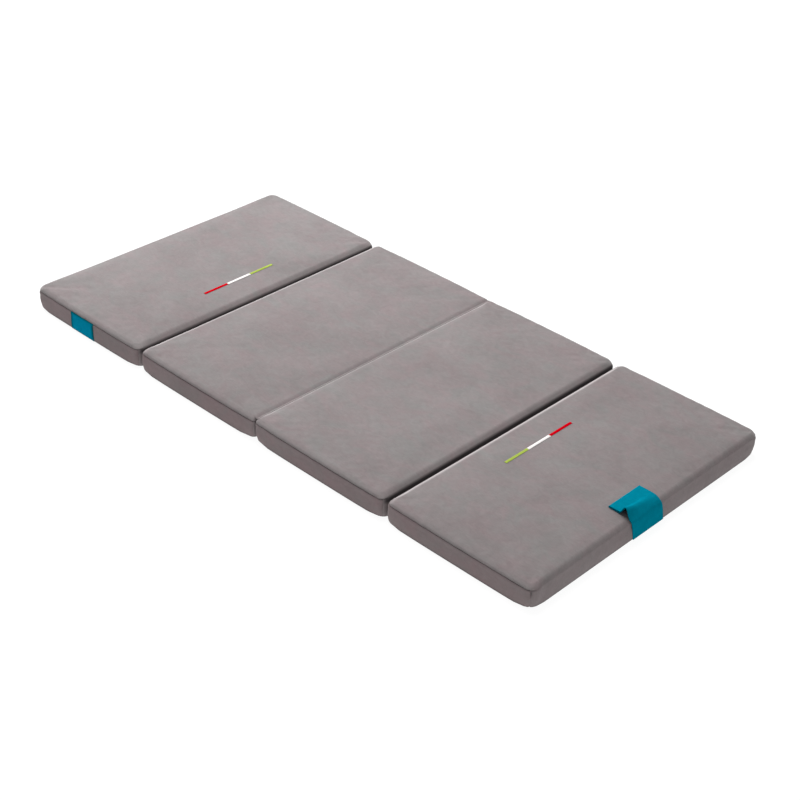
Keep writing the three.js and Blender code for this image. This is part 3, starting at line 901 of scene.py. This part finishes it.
def make_label(surface):
    """A bare woven label on the near side, sewn in at the seam, its foot folded under."""
    heights = np.linspace(LABEL_TOP, LABEL_FOOT, LABEL_PATH)
    path, outs = land(surface, [(LABEL_MIDDLE, -OUTSIDE, z) for z in heights], (0, 1, 0))
    path, outs = soften(path, LABEL_EVENING), soften(outs, 2 * LABEL_EVENING)
    label = cloth_grid("woven_label", *LABEL_GRID)
    places = points_of(label)
    across, down = places[:, 0] - 0.5, places[:, 1]
    belly = np.sin(np.clip(down, 0, 1) * math.pi) ** LABEL_FULLNESS
    places[:, 0] = down * (LABEL_TOP - LABEL_FOOT)
    places[:, 1] = across * LABEL_WIDTH
    places[:, 2] = LABEL_LIFT + LABEL_BELLY * belly * (1 - (2 * across) ** 4)
    places[:, 2] += LABEL_RIPPLE * waves(places, LABEL_RIPPLE_PITCH, LABEL_SEED) * down
    move_points(label, places)
    thicken(label, LABEL_CLOTH, 0)
    lay_along(label, path, outs)
    return label


def catmull_rom(points, steps):
    """A smooth line through the points."""
    points = np.vstack([2 * points[0] - points[1], points, 2 * points[-1] - points[-2]])
    line = []
    for before, start, end, after in zip(points, points[1:], points[2:], points[3:]):
        for share in np.linspace(0, 1, steps, endpoint=False):
            line.append(0.5 * (
                2 * start + (end - before) * share
                + (2 * before - 5 * start + 4 * end - after) * share**2
                + (3 * start - before - 3 * end + after) * share**3
            ))
    line.append(points[-2])
    return np.array(line)


def strap_profile(share):
    """The strap's middle line in X and Z at a share of its width, from its foot to its end."""
    bend_x = HALF_LENGTH - FREE_END["stand"][2] - STRAP_BEND
    bend_z = EDGE_HEIGHT - STRAP_BEND
    radius = STRAP_BEND + STRAP_SEAT + STRAP_CLOTH / 2
    heights = np.linspace(STRAP_FOOT, bend_z, STRAP_STEPS["rise"])
    stand = np.interp(heights, (0, EDGE_HEIGHT / 2, EDGE_HEIGHT), FREE_END["stand"])
    rise = np.stack([HALF_LENGTH - stand + STRAP_SEAT + STRAP_CLOTH / 2, heights], axis=1)
    angles = np.linspace(0, math.pi / 4, STRAP_STEPS["corner"])[1:]
    corner = np.stack([bend_x + radius * np.cos(angles), bend_z + radius * np.sin(angles)], axis=1)
    start = corner[-1]
    hump = HUMP_HEIGHT * (1 - share) ** 2
    runs, climbs, humps = np.array(FLAP_LINE).T
    flap = np.stack([
        start[0] + (STRAP_END - start[0]) * runs,
        start[1] + (FLAP_HEIGHT - start[1]) * climbs + hump * humps,
    ], axis=1)
    flap = catmull_rom(flap, STRAP_STEPS["flap"])
    turn = (FLAP_HEIGHT - TUCK_HEIGHT) / 2
    angles = np.linspace(math.pi / 2, 3 * math.pi / 2, STRAP_STEPS["end"])[1:-1]
    end_x, end_z = STRAP_END + turn * np.cos(angles), FLAP_HEIGHT - turn + turn * np.sin(angles)
    end = np.stack([end_x, end_z], axis=1)
    under = np.linspace(STRAP_END, STRAP_END + TUCK_LENGTH, STRAP_STEPS["tuck"])
    tuck = np.stack([under, np.full(len(under), TUCK_HEIGHT)], axis=1)
    return np.vstack([rise[:-1], corner[:-1], flap, end, tuck])


def make_strap():
    """One band of webbing from its foot over the top edge, with its end turned under."""
    strap = cloth_grid("webbing_strap", STRAP_COLUMNS, STRAP_ROWS)
    places = points_of(strap)
    across, along = places[:, 0].copy(), places[:, 1].copy()
    for share in np.unique(np.round(across, 5)):
        column = np.abs(across - share) < 1e-4
        line = strap_profile(share)
        reach = reach_along(line)
        for axis, values in zip((0, 2), line.T):
            places[column, axis] = np.interp(along[column] * reach[-1], reach, values)
    lean = np.clip(places[:, 2] / EDGE_HEIGHT, 0, 1)
    centre = STRAP_CENTRE + STRAP_LEAN * (0.5 - lean)
    places[:, 1] = centre + (across - 0.5) * STRAP_WIDTH
    move_points(strap, places)
    thicken(strap, STRAP_CLOTH, 0)
    face_outwards(strap)
    return strap


def make_hook_patch():
    """The patch of hooks inside the turned end: a backing with rows of small bent hooks."""
    low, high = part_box("hook_pad")
    rows = int((high[1] - low[1]) / HOOK_PITCH)
    columns = int(HOOK_PATCH_RUN / HOOK_PITCH)
    corner = (low[0] + HOOK_PATCH_RUN, high[1], low[2] + HOOK_BACKING)
    backing = block("hook_patch", low, corner)
    apply_modifier(backing, "BEVEL", width=HOOK_BACKING / 3, segments=2)
    start = (low[0] + HOOK_PITCH / 2, low[1] + HOOK_PITCH / 2, low[2] + HOOK_BACKING / 2)
    end = (start[0] + HOOK_SIZE, start[1] + HOOK_SIZE, high[2])
    hook = block("hook", start, end)
    choose(hook, "faces", face_middles(hook)[:, 2] > end[2] - HOOK_SIZE / 4)
    bpy.ops.transform.translate(value=(HOOK_SIZE, 0, 0))
    done_editing()
    repeat(hook, columns, (HOOK_PITCH, 0, 0))
    repeat(hook, rows, (0, HOOK_PITCH, 0))
    pick(hook)
    backing.select_set(True)
    bpy.context.view_layer.objects.active = backing
    bpy.ops.object.join()
    return backing


# Patterns and materials
def add_node(tree, kind, sockets=None, **settings):
    """A shader node with its settings, and with its sockets given a value or joined."""
    node = tree.nodes.new(f"ShaderNode{kind}")
    for name, value in settings.items():
        setattr(node, name, value)
    for name, value in (sockets or {}).items():
        if isinstance(value, bpy.types.NodeSocket):
            tree.links.new(value, node.inputs[name])
        else:
            node.inputs[name].default_value = value
    return node


def noise(tree, vector, scale, detail=2.0, roughness=0.5, distortion=0.0):
    sockets = {
        "Vector": vector, "Scale": scale, "Detail": detail, "Roughness": roughness,
        "Distortion": distortion,
    }
    return add_node(tree, "TexNoise", sockets).outputs["Fac"]


def turned(tree, vector, scale, turn=(0, 0, 0)):
    return add_node(tree, "Mapping", {"Vector": vector, "Scale": scale, "Rotation": turn}).outputs[0]


def calc(tree, operation, first, second=0.0):
    return add_node(tree, "Math", {0: first, 1: second}, operation=operation).outputs[0]


def spread_out(tree, value, low, high):
    """Stretches a value's usual range to 0 to 1."""
    return add_node(tree, "MapRange", {"Value": value, "From Min": low, "From Max": high}).outputs[0]


def mix_colours(tree, share, first, second):
    return add_node(tree, "Mix", {0: share, 6: first, 7: second}, data_type="RGBA").outputs[2]


def mix_values(tree, share, first, second):
    return add_node(tree, "Mix", {0: share, 2: first, 3: second}, data_type="FLOAT").outputs[0]


def new_group(name, inputs, outputs):
    group = bpy.data.node_groups.new(name, "ShaderNodeTree")
    for label, kind, value in inputs:
        socket = group.interface.new_socket(label, in_out="INPUT", socket_type=f"NodeSocket{kind}")
        if value is not None:
            socket.default_value = value
    for label in outputs:
        group.interface.new_socket(label, in_out="OUTPUT", socket_type="NodeSocketFloat")
    return group, group.nodes.new("NodeGroupInput"), group.nodes.new("NodeGroupOutput")


def make_nap_group():
    """Short brushed pile: cloudy patches, brush strokes, small mottles and single tufts."""
    group, given, result = new_group(
        "brushed nap",
        [("Vector", "Vector", None), ("Patches", "Float", 8.0), ("Mottles", "Float", 55.0)],
        ("Shade", "Tint", "Pile"),
    )
    vector = given.outputs["Vector"]
    cloud = noise(group, vector, given.outputs["Patches"], *CLOUDS)
    mottle = noise(group, vector, given.outputs["Mottles"], *MOTTLES)
    tufts = noise(group, vector, *TUFTS)
    strokes = []
    for degrees in BRUSH_DEGREES:
        brushed = turned(group, vector, BRUSH_PITCHES, (0, 0, math.radians(degrees)))
        strokes.append(noise(group, brushed, *STROKES))
    swept = spread_out(group, noise(group, vector, *MIXED), *MIXED_RANGE)
    stroke = mix_values(group, swept, *strokes)
    shade = calc(group, "MULTIPLY", spread_out(group, cloud, *NOISE_RANGE), CLOUD_WEIGHT)
    weights = ((mottle, MOTTLE_WEIGHT), (stroke, STROKE_WEIGHT), (tufts, TUFT_WEIGHT))
    for part, weight in weights:
        spread = spread_out(group, part, *NOISE_RANGE)
        shade = calc(group, "ADD", shade, calc(group, "MULTIPLY", spread, weight))
    group.links.new(shade, result.inputs["Shade"])
    tint = noise(group, turned(group, vector, TINT_PITCHES), *TINTS)
    group.links.new(spread_out(group, tint, *TINT_RANGE), result.inputs["Tint"])
    slant = (0, 0, math.radians(BRUSH_DEGREES[0]))
    combed = noise(group, turned(group, vector, COMBED_PITCHES, slant), *COMBED)
    pile = calc(group, "ADD", calc(group, "MULTIPLY", tufts, 0.5), calc(group, "MULTIPLY", combed, 0.5))
    group.links.new(pile, result.inputs["Pile"])
    return group


def make_weave_group():
    """Plain weave in thread counts: raised threads that pass over and under each other."""
    group, given, result = new_group("thread weave", [("Vector", "Vector", None)], ("Height",))
    vector = given.outputs["Vector"]
    apart = add_node(group, "SeparateXYZ", {"Vector": vector})
    rounds = []
    for axis in ("X", "Y"):
        wave = calc(group, "SINE", calc(group, "MULTIPLY", apart.outputs[axis], math.pi))
        rounds.append(calc(group, "ABSOLUTE", wave))
    over = add_node(group, "TexChecker", {"Vector": vector, "Scale": 1.0}).outputs["Fac"]
    group.links.new(mix_values(group, over, *rounds), result.inputs["Height"])
    return group


def new_material(name, roughness, sheen=0.0, sheen_roughness=0.5, metallic=0.0, specular=0.5):
    material = bpy.data.materials.new(name)
    material.use_nodes = True
    tree = material.node_tree
    shader = tree.nodes["Principled BSDF"]
    for socket, value in (
        ("Roughness", roughness), ("Sheen Weight", sheen), ("Sheen Roughness", sheen_roughness),
        ("Metallic", metallic), ("Specular IOR Level", specular),
    ):
        shader.inputs[socket].default_value = value
    return material, tree, shader


def paint_and_emboss(tree, shader, shade, height, bump):
    tree.links.new(shade, shader.inputs["Base Color"])
    sockets = {"Height": height, "Strength": bump[0], "Distance": bump[1]}
    tree.links.new(add_node(tree, "Bump", sockets).outputs[0], shader.inputs["Normal"])


def cloth_mask(tree, name):
    return add_node(tree, "Attribute", attribute_name=name).outputs["Fac"]


def colour(red, green, blue):
    """A colour from its 0 to 255 screen values."""
    return tuple((value / 255) ** SCREEN_GAMMA for value in (red, green, blue)) + (1.0,)


def tinted(shade, tint):
    return tuple(value * share for value, share in zip(shade, tint)) + (1.0,)


def brushed_cloth(name, dark, light, nap, sheen, patches=8.0, mottles=55.0):
    material, tree, shader = new_material(name, 0.95, sheen, 0.45, specular=0.25)
    place = add_node(tree, "TexCoord").outputs["Object"]
    pattern = add_node(tree, "Group", node_tree=nap)
    tree.links.new(place, pattern.inputs["Vector"])
    pattern.inputs["Patches"].default_value = patches
    pattern.inputs["Mottles"].default_value = mottles
    warm = mix_colours(tree, pattern.outputs["Shade"], dark, light)
    cool_dark, cool_light = (tinted(shade, NAP_TINT) for shade in (dark, light))
    cool = mix_colours(tree, pattern.outputs["Shade"], cool_dark, cool_light)
    not_warmed = calc(tree, "SUBTRACT", 1.0, cloth_mask(tree, "warm pile"))
    cool_share = calc(tree, "MULTIPLY", pattern.outputs["Tint"], not_warmed)
    shade = mix_colours(tree, cool_share, warm, cool)
    # Painted highlight on edges that catch the light, then painted shade in seams, along the foot and in
    # fold gaps
    shade = mix_colours(tree, cloth_mask(tree, "painted rim light"), shade, PAINTED_RIM_LIGHT)
    shade = mix_colours(tree, cloth_mask(tree, "painted shade"), shade, PAINTED_SHADE_COLOUR)
    paint_and_emboss(tree, shader, shade, pattern.outputs["Pile"], PILE_BUMP)
    return material


def rim_share(tree, own_map):
    """0 at the rim of a piece's own map, and 1 once well inside it."""
    apart = add_node(tree, "SeparateXYZ", {"Vector": own_map})
    reaches = []
    for axis in ("X", "Y"):
        off_centre = calc(tree, "ABSOLUTE", calc(tree, "SUBTRACT", apart.outputs[axis], 0.5))
        reaches.append(calc(tree, "SUBTRACT", 0.5, off_centre))
    return spread_out(tree, calc(tree, "MINIMUM", *reaches), *RIM_RANGE)


def woven_cloth(
    name, dark, light, weave, counts, roughness=0.7, sheen=0.1, source="UV", specular=0.3, rim=None,
):
    """Woven threads on a piece's own map, or on its place, with a slight fading in patches.

    The colours are 0 to 255 screen values.
    """
    material, tree, shader = new_material(name, roughness, sheen, 0.5, specular=specular)
    coordinates = add_node(tree, "TexCoord")
    pattern = add_node(tree, "Group", node_tree=weave)
    tree.links.new(turned(tree, coordinates.outputs[source], counts), pattern.inputs["Vector"])
    fade = spread_out(tree, noise(tree, coordinates.outputs["Object"], *FADING), *NOISE_RANGE)
    raised = calc(tree, "MULTIPLY", pattern.outputs["Height"], THREAD_WEIGHT)
    share = calc(tree, "ADD", raised, calc(tree, "MULTIPLY", fade, 1 - THREAD_WEIGHT))
    woven = mix_colours(tree, share, colour(*dark), colour(*light))
    if rim:
        woven = mix_colours(tree, rim_share(tree, coordinates.outputs[source]), colour(*rim), woven)
    paint_and_emboss(tree, shader, woven, pattern.outputs["Height"], THREAD_BUMP)
    return material


def foam_material():
    material, tree, shader = new_material("open foam", 0.95, 0.1)
    place = add_node(tree, "TexCoord").outputs["Object"]
    cells = add_node(tree, "TexVoronoi", {"Vector": place, "Scale": FOAM_CELLS}).outputs["Distance"]
    share = spread_out(tree, cells, *CELL_RANGE)
    shade = mix_colours(tree, share, colour(226, 218, 190), colour(250, 244, 222))
    paint_and_emboss(tree, shader, shade, cells, CELL_BUMP)
    return material


def lacquered_metal():
    material, tree, shader = new_material("lacquered zinc", 0.38, metallic=0.85)
    place = add_node(tree, "TexCoord").outputs["Object"]
    patchiness = spread_out(tree, noise(tree, place, *METAL_WEAR), *WEAR_RANGE)
    shade = mix_colours(tree, patchiness, colour(104, 102, 104), colour(132, 130, 132))
    paint_and_emboss(tree, shader, shade, noise(tree, place, *METAL_GRAIN), GRAIN_BUMP)
    return material


# Building the mattress
nap = make_nap_group()
weave = make_weave_group()
velour = brushed_cloth("grey velour", VELOUR_DARK, VELOUR_LIGHT, nap, 0.15)
side_velour = brushed_cloth("side velour", SIDE_DARK, SIDE_LIGHT, nap, 0.12, 11.0, 70.0)
base_weave = woven_cloth(
    "base cloth", (98, 92, 94), (128, 121, 123), weave, BASE_THREADS, 0.85, source="Object",
)
tape_weave = woven_cloth("hinge tape", (104, 98, 100), (138, 131, 133), weave, TAPE_THREADS)
thread = woven_cloth(
    "sewing thread", (112, 105, 106), (140, 133, 134), weave, SEWING_THREADS, 0.6, source="Object",
)
webbing = woven_cloth(
    "teal webbing", (4, 111, 132), (10, 131, 154), weave, STRAP_THREADS, 0.6, 0.0, specular=0.0,
)
label_weave = woven_cloth(
    "teal label", (8, 117, 150), (12, 140, 172), weave, LABEL_THREADS, 0.6, 0.0, specular=0.0,
    rim=(4, 96, 108),
)
satins = {
    shade: woven_cloth(f"{shade} satin", dark, light, weave, RIBBON_THREADS, 0.45, 0.0, specular=0.0)
    for shade, dark, light in (
        ("red", (176, 0, 20), (200, 4, 30)),
        ("white", (226, 222, 220), (246, 242, 240)),
        ("green", (138, 158, 60), (170, 188, 94)),
    )
}
foam = foam_material()
zip_tape = woven_cloth(
    "zip tape", (84, 79, 81), (112, 106, 108), weave, ZIP_THREADS, 0.8, source="Object",
)
metal = lacquered_metal()
hook_tape = woven_cloth(
    "hook tape", (12, 84, 100), (20, 104, 122), weave, ZIP_THREADS, 0.6, source="Object",
)

surfaces = {}
for number in PANEL_FACES:
    body = f"panel_{number}"
    (cover, near_gusset, far_gusset), surfaces[number] = make_cover(number)
    finish_piece(cover, body, "velour", velour, f"top_cover_{number}")
    finish_piece(near_gusset, body, "side_cloth", side_velour, f"near_side_{number}")
    finish_piece(far_gusset, body, "side_cloth", side_velour, f"far_side_{number}")
    base = make_base_panel(number)
    finish_piece(base, body, "base_cloth", base_weave, f"base_cloth_{number}")
    core = make_foam_core(number)
    finish_piece(core, body, "foam", foam, f"foam_slab_{number}")
    for part, material in (("upper", zip_tape), ("lower", zip_tape), ("slider", metal), ("pull", metal)):
        for slot in bpy.data.objects[f"zip_{part}_{number}"].material_slots:
            slot.material = material

for first, second in ((1, 2), (3, 4)):
    line = fold_line[f"fold_{first}_{second}"]
    tape = make_hinge_tape(f"hinge_tape_{first}{second}", line)
    halves = [f"fold_tape_{first}{second}_{half}" for half in ("low", "high")]
    finish_piece(tape, None, "fold_tape", tape_weave, *halves)
    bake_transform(tape)

band = make_top_hinge(surface_of([bpy.data.objects[f"velour_cover_{number}"] for number in (2, 3)]))
finish_piece(band, None, "fold_tape", velour, "fold_tape_23_low", "fold_tape_23_high")
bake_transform(band)

for number, x, order in ((1, -RIBBON_PLACE, "red white green"), (4, RIBBON_PLACE, "green white red")):
    for index, shade in enumerate(order.split()):
        low = RIBBON_START + index * RIBBON_STEP
        ribbon = make_ribbon(f"satin_{number}_{shade}", surfaces[number], x, low, low + RIBBON_LENGTH)
        node = f"ribbon_{number}_{shade}"
        finish_piece(ribbon, f"panel_{number}", f"ribbon_{shade}", satins[shade], node)

label = make_label(surfaces[1])
finish_piece(label, "panel_1", "label", label_weave, "label")

strap = make_strap()
finish_piece(strap, None, "strap", webbing, "strap_lower", "strap_flap")
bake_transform(strap)

finish_piece(make_hook_patch(), "strap_end", "hooks", hook_tape, "hook_pad")

for number, surface in surfaces.items():
    left, right = panel_ends(number)
    for side, sign in (("near", -1), ("far", 1)):
        columns = np.arange(left + STITCH_INSET, right - STITCH_INSET, STITCH_PATH_STEP)
        starts = [(x, sign * OUTSIDE, SEAM_HEIGHT + STITCH_RISE) for x in columns]
        path, outs = land(surface, starts, (0, -sign, 0))
        stitches = stitch_row(f"{side}_stitches_{number}", path + outs * STITCH_LIFT, outs)
        finish_piece(stitches, f"panel_{number}", "velour", thread)


# Camera, light and floor
def aim(item, place, target, roll=0.0):
    """Puts a lamp or the camera at a place, pointed at the target."""
    way = Vector(target) - Vector(place)
    item.location = place
    item.rotation_mode = "QUATERNION"
    item.rotation_quaternion = way.to_track_quat("-Z", "Y") @ Quaternion((0, 0, 1), roll)
    bpy.context.scene.collection.objects.link(item)


camera_data = bpy.data.cameras.new("camera")
camera_data.sensor_width = SENSOR_WIDTH
camera_data.lens = SENSOR_WIDTH * CAMERA_FOCUS / FRAME_PIXELS
camera_data.clip_end = FARTHEST
camera = bpy.data.objects.new("camera", camera_data)
back = Vector((
    math.sin(CAMERA_TURN) * math.cos(CAMERA_RISE), -math.cos(CAMERA_TURN) * math.cos(CAMERA_RISE),
    math.sin(CAMERA_RISE),
))
aim(camera, Vector(CAMERA_TARGET) + back * CAMERA_DISTANCE, CAMERA_TARGET, CAMERA_ROLL)
bpy.context.scene.camera = camera

for name, place, size, power in LAMPS:
    lamp_data = bpy.data.lights.new(name, "AREA")
    lamp_data.shape = "DISK"
    lamp_data.size = size
    lamp_data.energy = power
    aim(bpy.data.objects.new(name, lamp_data), place, (0, 0, 0))

world = bpy.data.worlds.new("pale room")
world.use_nodes = True
sky = world.node_tree.nodes["Background"]
sky.inputs["Color"].default_value = (1.0, 1.0, 1.0, 1.0)
sky.inputs["Strength"].default_value = ROOM_LIGHT
bpy.context.scene.world = world
bpy.context.scene.view_settings.view_transform = "Standard"

bpy.ops.object.select_all(action="DESELECT")
bpy.ops.mesh.primitive_plane_add(size=FLOOR_SIZE)
floor = settle_primitive("floor", (1, 1, 1))
floor_material, _, floor_shader = new_material("pale floor", 0.9, specular=0.1)
floor_shader.inputs["Base Color"].default_value = (FLOOR_SHADE, FLOOR_SHADE, FLOOR_SHADE, 1.0)
floor_shader.inputs["Emission Color"].default_value = (1.0, 1.0, 1.0, 1.0)
floor_shader.inputs["Emission Strength"].default_value = FLOOR_GLOW
floor.data.materials.append(floor_material)
